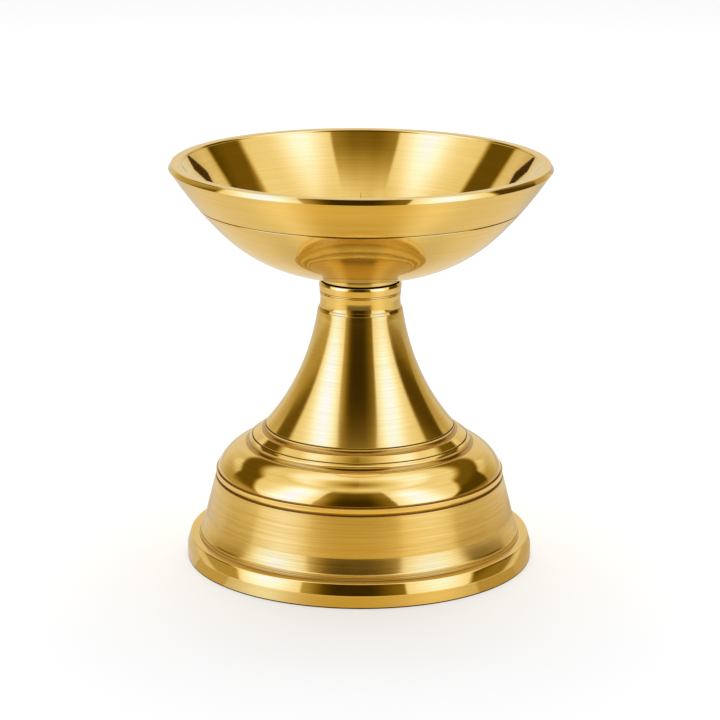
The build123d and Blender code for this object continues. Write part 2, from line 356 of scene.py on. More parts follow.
def turning_tree():
    """Revolves an outline about Z, with a climb for the points of a thread."""
    tree = bpy.data.node_groups.new("turned_piece", "GeometryNodeTree")
    interface = tree.interface
    interface.new_socket("Outline", in_out="INPUT", socket_type="NodeSocketGeometry")
    for name in ("Outline Points", "Segments"):
        interface.new_socket(name, in_out="INPUT", socket_type="NodeSocketInt")
    for name in ("Thread Lead", "Thread Bottom", "Thread Top", "Tip Radius"):
        interface.new_socket(name, in_out="INPUT", socket_type="NodeSocketFloat")
    interface.new_socket("Finish", in_out="INPUT", socket_type="NodeSocketMaterial")
    interface.new_socket("Piece", in_out="OUTPUT", socket_type="NodeSocketGeometry")
    link = tree.links.new
    given = add_node(tree, "NodeGroupInput")
    columns = plus(tree, given.outputs["Segments"], 1)
    grid = add_node(tree, "GeometryNodeMeshGrid")
    link(columns, grid.inputs["Vertices X"])
    link(given.outputs["Outline Points"], grid.inputs["Vertices Y"])
    index = add_node(tree, "GeometryNodeInputIndex").outputs[0]
    row = math_node(tree, "MODULO", index, given.outputs["Outline Points"])
    column = math_node(tree, "FLOOR", math_node(tree, "DIVIDE", index, given.outputs["Outline Points"]))
    share = math_node(tree, "DIVIDE", column, given.outputs["Segments"])
    angle = times(tree, share, 2 * math.pi)

    def on_outline(kind, value):
        sample = add_node(tree, "GeometryNodeSampleIndex", data_type=kind, domain="POINT")
        link(given.outputs["Outline"], sample.inputs["Geometry"])
        link(value, sample.inputs["Value"])
        link(row, sample.inputs["Index"])
        return sample.outputs[0]

    def stored_value(name):
        node = add_node(tree, "GeometryNodeInputNamedAttribute", data_type="FLOAT")
        node.inputs["Name"].default_value = name
        return node.outputs[0]

    parts = add_node(tree, "ShaderNodeSeparateXYZ")
    place = add_node(tree, "GeometryNodeInputPosition").outputs[0]
    link(on_outline("FLOAT_VECTOR", place), parts.inputs[0])
    climb = on_outline("FLOAT", stored_value("climb"))
    painted_shade = on_outline("FLOAT", stored_value("painted_shade"))
    climbed = times(tree, times(tree, given.outputs["Thread Lead"], share), climb)
    raised = plus(tree, parts.outputs["Z"], climbed)
    held = math_node(tree, "MINIMUM", raised, given.outputs["Thread Top"])
    held = math_node(tree, "MAXIMUM", held, given.outputs["Thread Bottom"])
    lift = math_node(tree, "SUBTRACT", held, parts.outputs["Z"])
    lift = times(tree, lift, climb)
    height = plus(tree, parts.outputs["Z"], lift)
    allowed = math_node(tree, "SUBTRACT", height, given.outputs["Thread Bottom"])
    allowed = plus(tree, allowed, given.outputs["Tip Radius"])
    radius = math_node(tree, "MINIMUM", parts.outputs["X"], allowed)
    spot = add_node(tree, "ShaderNodeCombineXYZ")
    link(times(tree, radius, math_node(tree, "COSINE", angle)), spot.inputs["X"])
    link(times(tree, radius, math_node(tree, "SINE", angle)), spot.inputs["Y"])
    link(height, spot.inputs["Z"])
    # The painted shade of the outline goes onto every point of the piece, for the finish to darken
    stored = add_node(tree, "GeometryNodeStoreNamedAttribute", data_type="FLOAT", domain="POINT")
    stored.inputs["Name"].default_value = "painted_shade"
    link(grid.outputs["Mesh"], stored.inputs["Geometry"])
    link(painted_shade, stored.inputs["Value"])
    placed = add_node(tree, "GeometryNodeSetPosition")
    link(stored.outputs[0], placed.inputs["Geometry"])
    link(spot.outputs[0], placed.inputs["Position"])
    merged = add_node(tree, "GeometryNodeMergeByDistance")
    merged.inputs["Distance"].default_value = merge_gap * MM
    link(placed.outputs[0], merged.inputs["Geometry"])
    realized = add_node(tree, "GeometryNodeRealizeInstances")
    link(merged.outputs[0], realized.inputs["Geometry"])
    finish = add_node(tree, "GeometryNodeSetMaterial")
    link(realized.outputs[0], finish.inputs["Geometry"])
    link(given.outputs["Finish"], finish.inputs["Material"])
    result = add_node(tree, "NodeGroupOutput")
    link(finish.outputs[0], result.inputs["Piece"])
    return tree


TURNING = turning_tree()


def turned_piece(name, outline, finish, segments=turned_segments, thread=None):
    """A closed mesh piece from an outline in millimetres.

    thread gives the lead, bottom, top, tip, first and last of a threaded outline."""
    points = outline + [outline[0]]
    source = bpy.data.meshes.new(name + "_outline")
    source.from_pydata([(point.x * MM, 0, point.y * MM) for point, _ in points], [], [])
    # Painted shade of each outline point
    painted_shade = source.attributes.new("painted_shade", "FLOAT", "POINT")
    for index, (_, amount) in enumerate(points):
        painted_shade.data[index].value = amount
    climb = source.attributes.new("climb", "FLOAT", "POINT")
    if thread:
        for index in range(thread["first"], thread["last"]):
            climb.data[index].value = 1.0
    holder = bpy.data.objects.new(name + "_outline", source)
    bpy.context.scene.collection.objects.link(holder)
    modifier = holder.modifiers.new("turning", "NODES")
    modifier.node_group = TURNING
    values = {
        "Outline Points": len(points),
        "Segments": segments,
        "Thread Lead": thread["lead"] * MM if thread else 0.0,
        "Thread Bottom": thread["bottom"] * MM if thread else -1.0,
        "Thread Top": thread["top"] * MM if thread else 1.0,
        "Tip Radius": thread["tip"] * MM if thread else 1.0,
        "Finish": finish,
    }
    for socket in TURNING.interface.items_tree:
        if socket.in_out == "INPUT" and socket.name in values:
            modifier[socket.identifier] = values[socket.name]
    evaluated = holder.evaluated_get(bpy.context.evaluated_depsgraph_get())
    mesh = bpy.data.meshes.new_from_object(evaluated)
    mesh.name = name
    bpy.data.objects.remove(holder)
    clean = bmesh.new()
    clean.from_mesh(mesh)
    bmesh.ops.dissolve_degenerate(clean, dist=shortest_edge * MM, edges=clean.edges)
    bmesh.ops.recalc_face_normals(clean, faces=clean.faces)
    for face in clean.faces:
        face.smooth = True
    for edge in clean.edges:
        edge.smooth = edge.calc_face_angle(0.0) < sharp_angle
    clean.to_mesh(mesh)
    clean.free()
    piece = bpy.data.objects.new(name, mesh)
    bpy.context.scene.collection.objects.link(piece)
    return piece


# Finishes


NOISE_LOW = 0.30
NOISE_HIGH = 0.70
GOLD_DARK = (0.74, 0.48, 0.11)
GOLD_LIGHT = (0.97, 0.70, 0.24)
# Brown and near black, painted over the brass as shade in coves, ledges, seams and grooves
HALF_SHADE_COLOUR = (0.48, 0.25, 0.035)
DEEP_SHADE_COLOUR = (0.030, 0.012, 0.003)
SHEET_DARK = (0.40, 0.22, 0.05)
SHEET_LIGHT = (0.70, 0.42, 0.11)
ZINC_DARK = (0.42, 0.43, 0.45)
ZINC_LIGHT = (0.66, 0.66, 0.65)
FIBRE_DARK = (0.003, 0.002, 0.001)
FIBRE_LIGHT = (0.010, 0.008, 0.006)


def new_finish(name):
    """A material, its node tree and its Principled shader."""
    material = bpy.data.materials.new(name)
    material.use_nodes = True
    tree = material.node_tree
    return material, tree, tree.nodes["Principled BSDF"]


def from_axis(tree, parts):
    """Distance of a place from the axis."""
    across = times(tree, parts.outputs["X"], parts.outputs["X"])
    along = times(tree, parts.outputs["Y"], parts.outputs["Y"])
    return math_node(tree, "SQRT", plus(tree, across, along))


def lathe_vector(tree, per_mm, streak):
    """Texture coordinates that repeat across the outline and hardly change round the axis."""
    place = add_node(tree, "ShaderNodeTexCoord").outputs["Object"]
    parts = add_node(tree, "ShaderNodeSeparateXYZ")
    tree.links.new(place, parts.inputs[0])
    radius = from_axis(tree, parts)
    across = times(tree, parts.outputs["X"], streak / MM)
    along = times(tree, parts.outputs["Y"], streak / MM)
    outward = times(tree, radius, per_mm / MM)
    upward = times(tree, parts.outputs["Z"], per_mm / MM)
    vector = add_node(tree, "ShaderNodeCombineXYZ")
    tree.links.new(plus(tree, outward, across), vector.inputs["X"])
    tree.links.new(along, vector.inputs["Y"])
    tree.links.new(upward, vector.inputs["Z"])
    return vector.outputs[0]


def noise(tree, vector, scale, detail, roughness):
    node = add_node(tree, "ShaderNodeTexNoise")
    node.inputs["Scale"].default_value = scale
    node.inputs["Detail"].default_value = detail
    node.inputs["Roughness"].default_value = roughness
    tree.links.new(vector, node.inputs["Vector"])
    return node.outputs["Fac"]


def spread(tree, value, low, high):
    """Maps the usual range of a noise to a range of its own."""
    node = add_node(tree, "ShaderNodeMapRange")
    node.inputs["From Min"].default_value = NOISE_LOW
    node.inputs["From Max"].default_value = NOISE_HIGH
    node.inputs["To Min"].default_value = low
    node.inputs["To Max"].default_value = high
    tree.links.new(value, node.inputs["Value"])
    return node.outputs["Result"]


def rise(tree, value, low, high):
    """0 below low and 1 above high, with a smooth change between them."""
    node = add_node(tree, "ShaderNodeMapRange", interpolation_type="SMOOTHSTEP")
    node.inputs["From Min"].default_value = low
    node.inputs["From Max"].default_value = high
    tree.links.new(value, node.inputs["Value"])
    return node.outputs["Result"]


def fall(tree, value, low, high):
    """1 below low and 0 above high."""
    return math_node(tree, "SUBTRACT", 1.0, rise(tree, value, low, high))


def peak(tree, value, centre, width):
    """1 at the centre, fading to both sides like a bell."""
    gap = math_node(tree, "DIVIDE", math_node(tree, "SUBTRACT", value, centre), width)
    squared = times(tree, gap, gap)
    return math_node(tree, "EXPONENT", times(tree, squared, -0.5))


def blend(tree, share, first, second):
    """The first value where share is 0, the second where it is 1."""
    node = add_node(tree, "ShaderNodeMix", data_type="FLOAT")
    for name, value in (("Factor", share), ("A", first), ("B", second)):
        if isinstance(value, (int, float)):
            node.inputs[name].default_value = value
        else:
            tree.links.new(value, node.inputs[name])
    return node.outputs["Result"]


def mixed_colour(tree, share, first, second):
    """The first colour where share is 0, the second where it is 1."""
    node = add_node(tree, "ShaderNodeMix", data_type="RGBA")
    tree.links.new(share, node.inputs["Factor"])
    for name, value in (("A", first), ("B", second)):
        if isinstance(value, tuple):
            node.inputs[name].default_value = (*value, 1)
        else:
            tree.links.new(value, node.inputs[name])
    return node.outputs["Result"]


def scaled(tree, colour, level):
    """A colour times a level."""
    node = add_node(tree, "ShaderNodeVectorMath", operation="SCALE")
    if isinstance(colour, tuple):
        node.inputs[0].default_value = colour
    else:
        tree.links.new(colour, node.inputs[0])
    tree.links.new(level, node.inputs["Scale"])
    return node.outputs[0]


def turned_brass(name, rough_low, rough_high, brushing, line_depth, contrast, lean=None):
    """Brass with the fine rings that the lathe and the polishing cloth leave round the axis.

    lean gives a tilt and two levels between which the scratches turn the gloss downwards."""
    material, tree, shader = new_finish(name)
    link = tree.links.new
    place = add_node(tree, "ShaderNodeTexCoord").outputs["Object"]
    fine = noise(tree, lathe_vector(tree, per_mm=4.6, streak=0.06), 1.0, detail=2.0, roughness=0.6)
    streaks = noise(tree, lathe_vector(tree, per_mm=1.8, streak=0.03), 1.0, detail=4.0, roughness=0.7)
    clouds = noise(tree, place, 45.0, detail=3.0, roughness=0.5)
    tone = plus(tree, times(tree, streaks, 0.45), times(tree, fine, 0.40))
    tone = plus(tree, tone, times(tree, clouds, 0.15))
    shade = spread(tree, tone, 0.5 - 0.5 * contrast, 0.5 + 0.5 * contrast)
    metal = mixed_colour(tree, shade, GOLD_DARK, GOLD_LIGHT)
    # Painted shade: the attribute turns the colour brown and then near black in seams, grooves and coves,
    # adds roughness and takes the metal away so that they stay dark
    painted_shade = add_node(tree, "ShaderNodeAttribute", attribute_name="painted_shade").outputs["Fac"]
    half_shaded = mixed_colour(tree, rise(tree, painted_shade, 0.0, 0.5), metal, HALF_SHADE_COLOUR)
    deep_shaded = mixed_colour(tree, rise(tree, painted_shade, 0.5, 1.0), half_shaded, DEEP_SHADE_COLOUR)
    link(deep_shaded, shader.inputs["Base Color"])
    rough = plus(tree, spread(tree, tone, rough_low, rough_high), times(tree, painted_shade, painted_shade_roughness))
    link(rough, shader.inputs["Roughness"])
    link(fall(tree, painted_shade, 0.60, 0.85), shader.inputs["Metallic"])
    shader.inputs["Specular IOR Level"].default_value = 0.05
    shader.inputs["Anisotropic"].default_value = brushing
    shader.inputs["Anisotropic Rotation"].default_value = 0.25
    tangent = add_node(tree, "ShaderNodeTangent", direction_type="RADIAL", axis="Z")
    link(tangent.outputs[0], shader.inputs["Tangent"])
    bump = add_node(tree, "ShaderNodeBump")
    bump.inputs["Strength"].default_value = 1.0
    bump.inputs["Distance"].default_value = line_depth * MM
    link(plus(tree, times(tree, streaks, 2.0), fine), bump.inputs["Height"])
    normal = bump.outputs[0]
    if lean:
        tilt, low, high = lean
        parts = add_node(tree, "ShaderNodeSeparateXYZ")
        link(place, parts.inputs[0])
        level = times(tree, parts.outputs["Z"], 1 / MM)
        zone = times(tree, rise(tree, level, low - 0.15, low + 0.15), fall(tree, level, high - 0.05, high))
        down = add_node(tree, "ShaderNodeCombineXYZ")
        link(times(tree, zone, -math.tan(math.radians(tilt))), down.inputs["Z"])
        leaning = add_node(tree, "ShaderNodeVectorMath", operation="ADD")
        link(normal, leaning.inputs[0])
        link(down.outputs[0], leaning.inputs[1])
        unit = add_node(tree, "ShaderNodeVectorMath", operation="NORMALIZE")
        link(leaning.outputs[0], unit.inputs[0])
        normal = unit.outputs[0]
    link(normal, shader.inputs["Normal"])
    return material


drum_flare_level = drum_level + 2 * drum_bead_height + drum_flare_height
drum_gloss_tilt = 13.0
polished_brass = turned_brass(
    "polished_brass", rough_low=0.05, rough_high=0.09, brushing=0.6, line_depth=0.0008, contrast=0.6
)
bright_brass = turned_brass(
    "bright_brass", rough_low=0.07, rough_high=0.11, brushing=0.65, line_depth=0.0008, contrast=0.8
)
satin_brass = turned_brass(
    "satin_brass", rough_low=0.13, rough_high=0.17, brushing=0.75, line_depth=0.0007, contrast=0.55
)
hairline_brass = turned_brass(
    "hairline_brass", rough_low=0.32, rough_high=0.39, brushing=0.84, line_depth=0.0036, contrast=2.4
)
brushed_brass = turned_brass(
    "brushed_brass",
    rough_low=0.20,
    rough_high=0.27,
    brushing=0.95,
    line_depth=0.0025,
    contrast=1.4,
    lean=(drum_gloss_tilt, drum_flare_level, shoulder_level),
)
cut_brass = turned_brass(
    "cut_brass", rough_low=0.20, rough_high=0.30, brushing=0.4, line_depth=0.002, contrast=1.0
)


def dress(tree, shader, tone, colours, gloss, grain, grain_depth):
    """Gives a shader two colours and two roughnesses that follow a tone, and a relief of a grain."""
    shade = spread(tree, tone, 0.0, 1.0)
    tree.links.new(mixed_colour(tree, shade, *colours), shader.inputs["Base Color"])
    tree.links.new(spread(tree, tone, *gloss), shader.inputs["Roughness"])
    bump = add_node(tree, "ShaderNodeBump")
    bump.inputs["Distance"].default_value = grain_depth * MM
    tree.links.new(grain, bump.inputs["Height"])
    tree.links.new(bump.outputs[0], shader.inputs["Normal"])


def sheet_brass():
    """Dull rolled sheet, with a straight grain and a little tarnish."""
    material, tree, shader = new_finish("sheet_brass")
    place = add_node(tree, "ShaderNodeTexCoord").outputs["Object"]
    stretch = add_node(tree, "ShaderNodeMapping")
    stretch.inputs["Scale"].default_value = (90.0, 2600.0, 90.0)
    tree.links.new(place, stretch.inputs["Vector"])
    grain = noise(tree, stretch.outputs[0], 1.0, detail=4.0, roughness=0.6)
    tarnish = noise(tree, place, 90.0, detail=5.0, roughness=0.6)
    tone = plus(tree, times(tree, grain, 0.4), times(tree, tarnish, 0.6))
    colours = (SHEET_DARK, SHEET_LIGHT)
    dress(tree, shader, tone, colours, gloss=(0.42, 0.28), grain=grain, grain_depth=0.004)
    shader.inputs["Metallic"].default_value = 1.0
    return material


def zinc_steel():
    """Bright zinc with a faint bluish mottle."""
    material, tree, shader = new_finish("zinc_steel")
    place = add_node(tree, "ShaderNodeTexCoord").outputs["Object"]
    mottle = noise(tree, place, 900.0, detail=4.0, roughness=0.6)
    colours = (ZINC_DARK, ZINC_LIGHT)
    dress(tree, shader, mottle, colours, gloss=(0.24, 0.40), grain=mottle, grain_depth=0.006)
    shader.inputs["Metallic"].default_value = 1.0
    return material


def black_fibre():
    """Pressed black fibre, matt and slightly felted."""
    material, tree, shader = new_finish("black_fibre")
    place = add_node(tree, "ShaderNodeTexCoord").outputs["Object"]
    felt = noise(tree, place, 2600.0, detail=5.0, roughness=0.7)
    colours = (FIBRE_DARK, FIBRE_LIGHT)
    dress(tree, shader, felt, colours, gloss=(0.70, 0.92), grain=felt, grain_depth=0.03)
    shader.inputs["Specular IOR Level"].default_value = 0.0
    return material


# Pieces of the stand


def foot_ring():
    edge_radius = foot_radius - foot_bevel
    lip_radius = drum_bead_radius - 2 * drum_bead - drum_wall - register_fit
    shelf_radius = foot_bore_radius - foot_shelf_width
    outline = Outline((foot_bore_radius, 0))
    outline.line((foot_radius - foot_round, 0))
    # Painted shade: the rounded bottom edge is painted dark as the contact shadow on the floor
    outline.sweep((foot_radius, foot_round), painted_shade=seam_painted_shade)
    outline.line((foot_radius, foot_round + seam_width), soft=0.0)
    outline.line((foot_radius, foot_band_height))
    outline.line((edge_radius, foot_height), soft=soft_edge)
    outline.line((drum_bead_radius + seam_width, foot_height), soft=soft_edge)
    # Painted shade on the ledge under the drum
    outline.line((lip_radius, foot_height), painted_shade=ledge_painted_shade)
    outline.line((lip_radius, foot_lip_level), (shelf_radius, foot_lip_level), (shelf_radius, shelf_level))
    outline.line((foot_bore_radius, shelf_level))
    return turned_piece("foot_ring_turned", outline.eased(), polished_brass)


def drum():
    lower_bead = drum_level + drum_bead_height
    upper_bead = lower_bead + drum_bead_height
    drum_foot_radius = drum_bead_radius - 2 * drum_bead
    flare_radius = drum_foot_radius - drum_flare
    top_radius = flare_radius - drum_taper
    bore_radius = top_radius - drum_wall
    lip_bore = drum_foot_radius - drum_wall
    seat = foot_lip_level + drum_lip_gap
    # Painted shade on the top under the shoulder, in the cove between the beads and along the bottom on the
    # foot ring
    outline = Outline((bore_radius, shoulder_level), groove_painted_shade)
    outline.line((top_radius - seam_width, shoulder_level), painted_shade=groove_painted_shade)
    outline.line((top_radius, shoulder_level))
    outline.line((flare_radius, upper_bead + drum_flare_height))
    outline.sweep((drum_foot_radius, upper_bead + drum_cove))
    outline.sweep((drum_foot_radius + drum_bead, upper_bead))
    outline.line((drum_foot_radius + drum_bead, lower_bead), painted_shade=cove_painted_shade)
    outline.line((drum_bead_radius, lower_bead))
    outline.line((drum_bead_radius, drum_level), painted_shade=cove_painted_shade)
    outline.line((lip_bore, drum_level), (lip_bore, seat), (bore_radius, seat))
    return turned_piece("drum_turned", outline.eased(), brushed_brass)


def shoulder():
    groove_radius = shoulder_radius - shoulder_groove
    dome_radius = shoulder_radius - dome_step
    top_radius = dome_radius - dome_run
    band_bottom = shoulder_level + shoulder_groove_height
    band_top = band_bottom + shoulder_band_height
    dome_level = band_top + dome_groove_height
    knee = (dome_radius - dome_knee_run, dome_level + dome_knee_rise)
    hub_radius = stem_radius - stem_foot_width
    drum_bore = drum_bead_radius - 2 * drum_bead - drum_flare - drum_taper - drum_wall
    spigot_radius = drum_bore - register_fit
    spigot_bore = spigot_radius - shoulder_spigot_wall
    web_level = ring_level - shoulder_web
    rod_hole = rod_radius + rod_clearance
    # Painted shade in the groove under the band and in the groove under the dome
    outline = Outline((groove_radius, shoulder_level), groove_painted_shade)
    outline.line((groove_radius, band_bottom), painted_shade=groove_painted_shade)
    outline.line((shoulder_radius, band_bottom), (shoulder_radius, band_top))
    outline.line((dome_radius - dome_groove, band_top), painted_shade=groove_painted_shade)
    outline.line((dome_radius - dome_groove, dome_level), painted_shade=groove_painted_shade)
    outline.line((dome_radius, dome_level))
    outline.sweep(knee, direction=-lean_down(dome_lean), soft=fine_edge)
    outline.sweep((top_radius, ring_level))
    outline.line((hub_radius - register_fit, ring_level), (hub_radius - register_fit, hub_top))
    outline.line((hub_radius - hub_wall, hub_top), (hub_radius - hub_wall, ring_level))
    outline.line((rod_hole, ring_level), (rod_hole, web_level), (top_radius - shoulder_wall, web_level))
    outline.line((spigot_bore, shoulder_level), (spigot_bore, spigot_level))
    outline.line((spigot_radius, spigot_level), (spigot_radius, shoulder_level))
    return turned_piece("shoulder_turned", outline.eased(), bright_brass)


def step_ring():
    edge_radius = ring_radius - ring_cove
    lip_top = ring_level + ring_lip_height
    cove_top = lip_top + ring_cove
    top_radius = edge_radius - ring_edge - ring_slope_run
    hub_radius = stem_radius - stem_foot_width
    outline = Outline((hub_radius, ring_level))
    outline.line((ring_radius, ring_level), (ring_radius, lip_top))
    # Painted shade in the cove and in the turned line on the slope
    outline.sweep((edge_radius, cove_top), direction=(-1, 0), soft=fine_edge, painted_shade=cove_painted_shade)
    outline.line((edge_radius, cove_top + ring_edge))
    edge = Vector((edge_radius - ring_edge, cove_top + 2 * ring_edge))
    top = Vector((top_radius, stem_level))
    outline.line(edge)
    outline.line(edge + (top - edge).normalized() * 2 * cut_width).cut()
    outline.line(top, soft=0.0)
    outline.line((hub_radius, stem_level))
    return turned_piece("step_ring_turned", outline.eased(), polished_brass)


def stem():
    lip_top = stem_level + stem_lip_height
    edge_radius = stem_radius - stem_cove
    cove_top = lip_top + stem_cove
    toe = (edge_radius, cove_top + stem_edge)
    hub_radius = stem_radius - stem_foot_width
    waist_level = collar_level - stem_waist_drop
    inner_toe = (hub_radius, hub_top + stem_wall)
    inner_waist = (stem_waist_radius - stem_wall, waist_level)
    bore_radius = collar_spigot_radius + register_fit
    outline = Outline((bore_radius, collar_level))
    outline.line((stem_top_radius, collar_level))
    outline.sweep((stem_waist_radius, waist_level), direction=lean_down(stem_top_lean), soft=fine_edge)
    waist_direction = outline.direction
    # Painted shade in the turned line above the toe and in the cove
    outline.sweep(toe).cut()
    outline.line((edge_radius, cove_top), soft=fine_edge)
    outline.sweep((stem_radius, lip_top), direction=(0, -1), painted_shade=cove_painted_shade)
    outline.line((stem_radius, stem_level), (hub_radius, stem_level), inner_toe)
    _, back = arc(inner_waist, inner_toe, waist_direction)
    outline.sweep(inner_waist, direction=-back)
    outline.line((bore_radius, collar_level - stem_bore_depth))
    return turned_piece("stem_turned", outline.eased(), satin_brass)


def neck_collar():
    edge_radius = collar_radius - collar_bevel
    neck_radius = edge_radius - collar_ledge
    waist_radius = neck_radius - collar_waist
    band_radius = waist_radius + collar_band
    lip_radius = waist_radius + collar_lip
    band_level = collar_level + collar_band_height
    lip_level = washer_level - collar_lip_height
    neck = (neck_radius, collar_level + collar_bevel_height)
    waist = (waist_radius, collar_level + collar_waist_height)
    _, neck_lean = arc(waist, neck, (0, -1))
    stud_bore = stud_radius + thread_fit
    stud_bottom = stud_tip_level - stud_hole_spare
    rod_bore = rod_radius + thread_fit
    web_level = stud_bottom - collar_web
    outline = Outline((collar_spigot_radius, collar_level))
    # Painted shade along the bottom where the collar sits on the stem, and in the two fine grooves
    outline.line((collar_radius, collar_level), painted_shade=cove_painted_shade)
    outline.line((edge_radius, neck[1]), neck)
    outline.sweep(waist, direction=-neck_lean, soft=fine_edge)
    for line in (1, 0):
        level = band_level - line * collar_groove_spacing
        outline.line((band_radius, level - collar_groove_depth), soft=fine_edge)
        outline.line((band_radius - collar_groove_depth, level), soft=fine_edge / 2, painted_shade=cove_painted_shade)
        outline.line((band_radius, level + collar_groove_depth), soft=fine_edge / 2)
    outline.line((lip_radius, lip_level), (lip_radius - collar_lip_bevel, washer_level))
    outline.line((stud_bore, washer_level), (stud_bore, stud_bottom), (0, stud_bottom), soft=fine_edge)
    outline.line((0, web_level), (rod_bore, web_level), (rod_bore, collar_spigot_level), soft=0.0)
    outline.line((collar_spigot_radius, collar_spigot_level))
    return turned_piece("neck_collar_turned", outline.eased(), polished_brass)


# Pieces of the bowl


def bowl():
    collar_lip_radius = collar_radius - collar_bevel - collar_ledge - collar_waist + collar_lip
    foot_edge = collar_lip_radius - bowl_foot_inset
    foot_top = bowl_level + bowl_foot_height
    base = Vector((bowl_base_radius, bowl_level + bowl_base_rise))
    belly = Vector((rim_radius - bowl_belly_inset, bowl_level + bowl_belly_rise))
    band_bottom = rim_level - rim_band_height
    mouth_radius = rim_radius - rim_width
    base_direction = Vector((math.cos(bowl_base_slope), math.sin(bowl_base_slope)))
    mouth = Vector((mouth_radius, rim_level - rim_inner_round))
    knee_level = bowl_level + bowl_knee_rise
    knee = Vector((mouth_radius - (mouth.y - knee_level) / math.tan(bowl_wall_slope), knee_level))
    knee_slope = bowl_wall_slope - bowl_wall_bend
    floor_edge = (knee.x - (knee_level - bowl_floor_level) / math.tan(knee_slope / 2), bowl_floor_level)
    mouth_slope = bowl_wall_slope + bowl_wall_bend
    mouth_direction = Vector((-math.cos(mouth_slope), -math.sin(mouth_slope)))
    neck_radius = foot_edge - bowl_neck_depth
    neck = (neck_radius, foot_top + bowl_neck_height)
    _, neck_direction = arc(base, neck, -base_direction)
    socket_radius = stud_radius + thread_fit
    peg_radius = pin_peg_radius + register_fit
    peg_level = bowl_floor_level - pin_peg_depth
    outline = Outline((socket_radius, bowl_level))
    outline.line((foot_edge, bowl_level))
    outline.line((foot_edge, foot_top))
    # Painted shade in the narrow neck above the foot
    outline.line((neck_radius, foot_top), neck, painted_shade=cove_painted_shade)
    outline.sweep(base, direction=-neck_direction, soft=fine_edge)
    outline.sweep(belly, direction=base_direction)
    side, _ = arc(belly, (rim_radius - rim_undercut, band_bottom), outline.direction)
    line_index = point_along(side, bowl_line_place)
    for point in side[:line_index]:
        outline.add(point)
    # Painted shade: the turned line round the bowl is painted near black
    outline.line(side[line_index], soft=0.0).cut(bowl_line_width, bowl_line_depth, 1.0)
    for point in side[line_index + 1 :]:
        outline.add(point)
    outline.line((rim_radius, band_bottom), soft=fine_edge)
    outline.line((rim_radius - rim_bevel, rim_level - rim_round), soft=fine_edge)
    outline.sweep((rim_radius - rim_bevel - rim_round, rim_level), direction=(0, 1))
    outline.line((mouth_radius + rim_inner_round, rim_level), soft=0.0)
    outline.sweep(mouth)
    outline.sweep(knee, direction=mouth_direction)
    outline.sweep(floor_edge)
    outline.line((peg_radius, bowl_floor_level), soft=0.0)
    outline.line((peg_radius, peg_level), (0, peg_level), soft=fine_edge)
    outline.line((0, stud_top_level), (socket_radius, stud_top_level), soft=0.0)
    piece = turned_piece("bowl_turned", outline.eased(), polished_brass)
    piece.visible_glossy = False
    piece.data.materials.append(hairline_brass)
    for face in piece.data.polygons:
        outward = face.normal.x * face.center.x + face.normal.y * face.center.y > 0
        if outward and face.center.z < band_bottom * MM:
            face.material_index = 1
    return piece


def wick_pin():
    foot_top = bowl_floor_level + pin_foot_thickness
    outline = Outline((0, pin_peg_level))
    outline.line((pin_peg_radius, pin_peg_level), (pin_peg_radius, bowl_floor_level))
    outline.line((pin_foot_radius, bowl_floor_level), (pin_foot_radius, foot_top - pin_foot_round))
    outline.sweep((pin_foot_radius - pin_foot_round, foot_top))
    outline.line((pin_base_radius, foot_top), soft=0.0)
    outline.line((pin_tip_radius, pin_tip_level - pin_tip_radius), soft=0.0)
    outline.sweep((0, pin_tip_level), direction=-lean_down(pin_tip_lean))
    return turned_piece("wick_pin_turned", outline.eased(), cut_brass, segments=pin_segments)


def threaded_outline(radius, pitch, turns, bottom, top):
    """An outline with a ridge for each turn, and the first and last point that climb with the thread."""
    root_radius = radius - pitch * thread_depth_share
    root_gap = pitch * thread_root_share / 2
    crest_gap = pitch * (1 - thread_crest_share) / 2
    points = [Vector((0, bottom)), Vector((root_radius, bottom))]
    first = len(points)
    for turn in range(-1, turns + 1):
        foot = bottom + turn * pitch
        points.append(Vector((root_radius, foot + root_gap)))
        points.append(Vector((radius, foot + crest_gap)))
        points.append(Vector((radius, foot + pitch - crest_gap)))
        points.append(Vector((root_radius, foot + pitch - root_gap)))
    last = len(points)
    thread_top = bottom + turns * pitch
    points += [Vector((root_radius, thread_top)), Vector((radius, thread_top))]
    points += [Vector((radius, top)), Vector((0, top))]
    thread = {
        "lead": pitch,
        "bottom": bottom,
        "top": thread_top,
        "tip": root_radius,
        "first": first,
        "last": last,
    }
    return [(point, 0.0) for point in points], thread


def bowl_stud():
    turns = round((washer_level - stud_tip_level) / stud_pitch)
    outline, thread = threaded_outline(stud_radius, stud_pitch, turns, stud_tip_level, stud_top_level)
    return turned_piece("bowl_stud_threaded", outline, cut_brass, thread_segments, thread)


def tie_rod(finish):
    turns = rod_thread_turns
    outline, thread = threaded_outline(rod_radius, rod_pitch, turns, rod_tip_level, rod_top_level)
    return turned_piece("tie_rod_threaded", outline, finish, thread_segments, thread)


def seat(piece, body, node, slot):
    """Lets a finished piece stand for a node and move with its body."""
    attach(piece, body)
    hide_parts(node)


steel = zinc_steel()
seat(foot_ring(), "stand", "foot_ring", "brass_polished")
seat(drum(), "stand", "drum", "brass_brushed")
seat(shoulder(), "stand", "shoulder", "brass_polished")
seat(step_ring(), "stand", "step_ring", "brass_polished")
seat(stem(), "stand", "stem", "brass_polished")
seat(neck_collar(), "stand", "neck_collar", "brass_brushed")
seat(tie_rod(steel), "stand", "tie_rod", "steel")
seat(bowl(), "bowl", "bowl", "brass_polished")
seat(bowl_stud(), "bowl", "bowl_stud", "brass_thread")
seat(wick_pin(), "wick", "wick_pin", "brass_thread")


def refinish(node, material):
    """Gives a node of the frame a finish of its own."""
    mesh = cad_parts[node].data
    mesh.materials.clear()
    mesh.materials.append(material)


refinish("rod_nut", steel)
refinish("rod_washer", steel)
refinish("base_plate", sheet_brass())
refinish("seat_washer", black_fibre())


